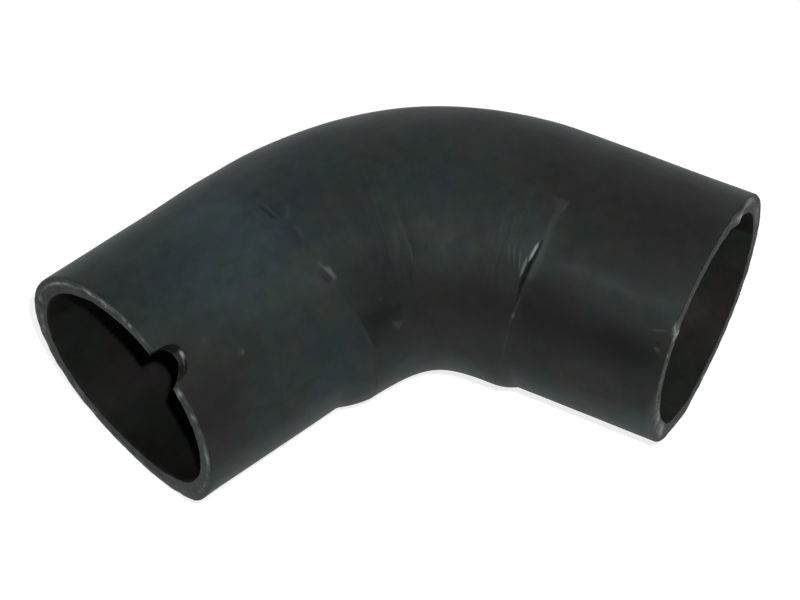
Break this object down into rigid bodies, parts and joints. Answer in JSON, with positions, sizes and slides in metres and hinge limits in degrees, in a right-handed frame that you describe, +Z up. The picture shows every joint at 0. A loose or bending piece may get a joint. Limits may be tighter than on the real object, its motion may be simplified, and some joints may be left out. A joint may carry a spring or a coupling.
{
  "type": "coolant hose",
  "caption": "Moulded black rubber elbow hose with two open mouths, a locating notch in one rim and a thicker wall on the inner side of the bend.",
  "frame": {"origin": "on the surface that the hose lies on, under the middle of its extent", "axes": "+Z up, normal to the plane of the bend; arm A with the notched mouth runs towards -X, arm B towards +X, and the bend opens towards -Y"},
  "size_m": [0.1964, 0.1012, 0.0706],
  "materials": {
    "rubber": "satin, slightly mottled, cut edges lighter"
  },
  "bodies": {
    "root": {"hose": "rubber"}
  },
  "joints": []
}
